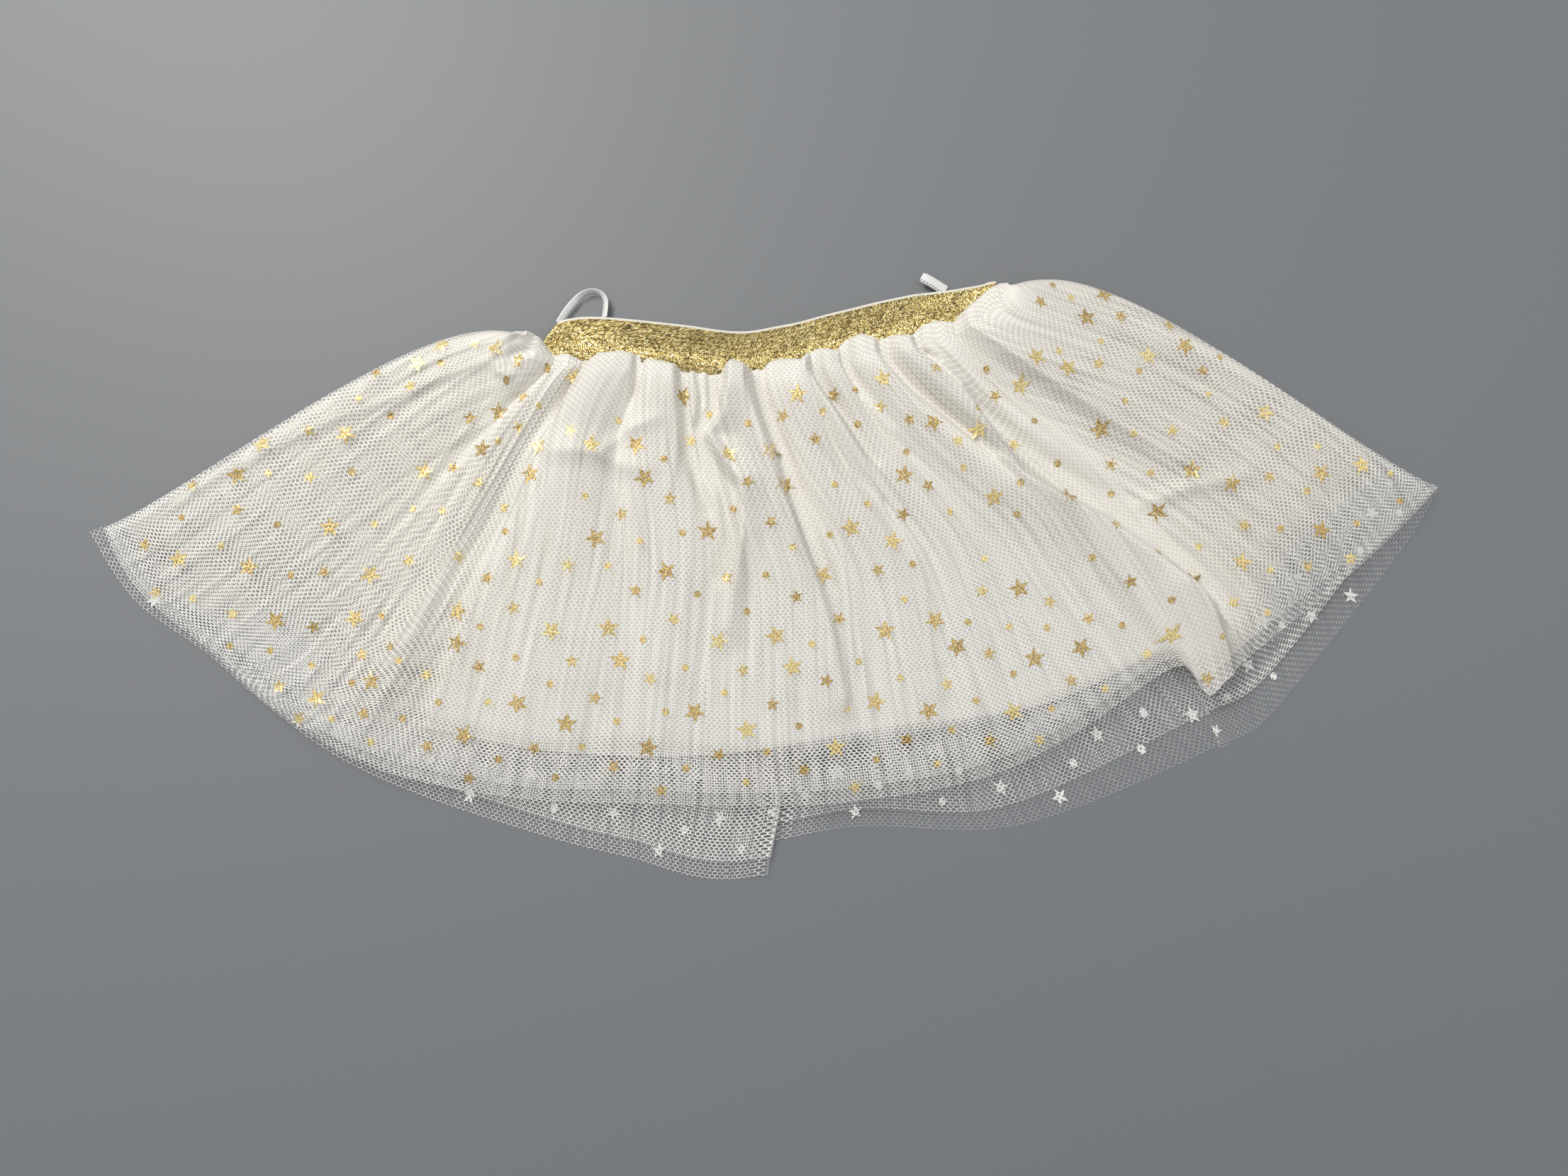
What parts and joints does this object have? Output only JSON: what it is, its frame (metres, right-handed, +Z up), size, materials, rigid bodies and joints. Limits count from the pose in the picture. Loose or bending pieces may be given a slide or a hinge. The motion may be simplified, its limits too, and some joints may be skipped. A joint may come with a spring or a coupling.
{
  "type": "child's tulle skirt, laid flat",
  "caption": "Short gathered ivory tulle skirt printed with gold stars and dots, over an A-line lining, on a wide gold elastic waistband, spread flat in a fan.",
  "frame": {"origin": "on the flat underside, on the line from the middle of the waist to the hem, at the middle of the spread skirt", "axes": "+Z up from the table, +Y towards the waistband, +X towards the wearer's left side, which is at the right when the front is looked at"},
  "size_m": [0.6183, 0.2805, 0.0171],
  "materials": {
    "printed_tulle": "sheer hexagonal nylon net with gold foil stars and dots on its face",
    "plain_tulle": "sheer hexagonal nylon net, unprinted",
    "lining": "opaque matt warp knit",
    "gold_elastic": "glittering metallic ribbed elastic with a plain ivory edge",
    "satin_ribbon": "narrow satin ribbon"
  },
  "bodies": {
    "root": {"tulle_back_printed": "printed_tulle", "tulle_back_plain": "plain_tulle", "lining_back": "lining", "lining_front": "lining", "tulle_front_plain": "plain_tulle", "tulle_front_printed": "printed_tulle", "waistband_back": "gold_elastic", "waistband_front": "gold_elastic", "hanger_loop_left": "satin_ribbon", "hanger_loop_right": "satin_ribbon"}
  },
  "joints": []
}
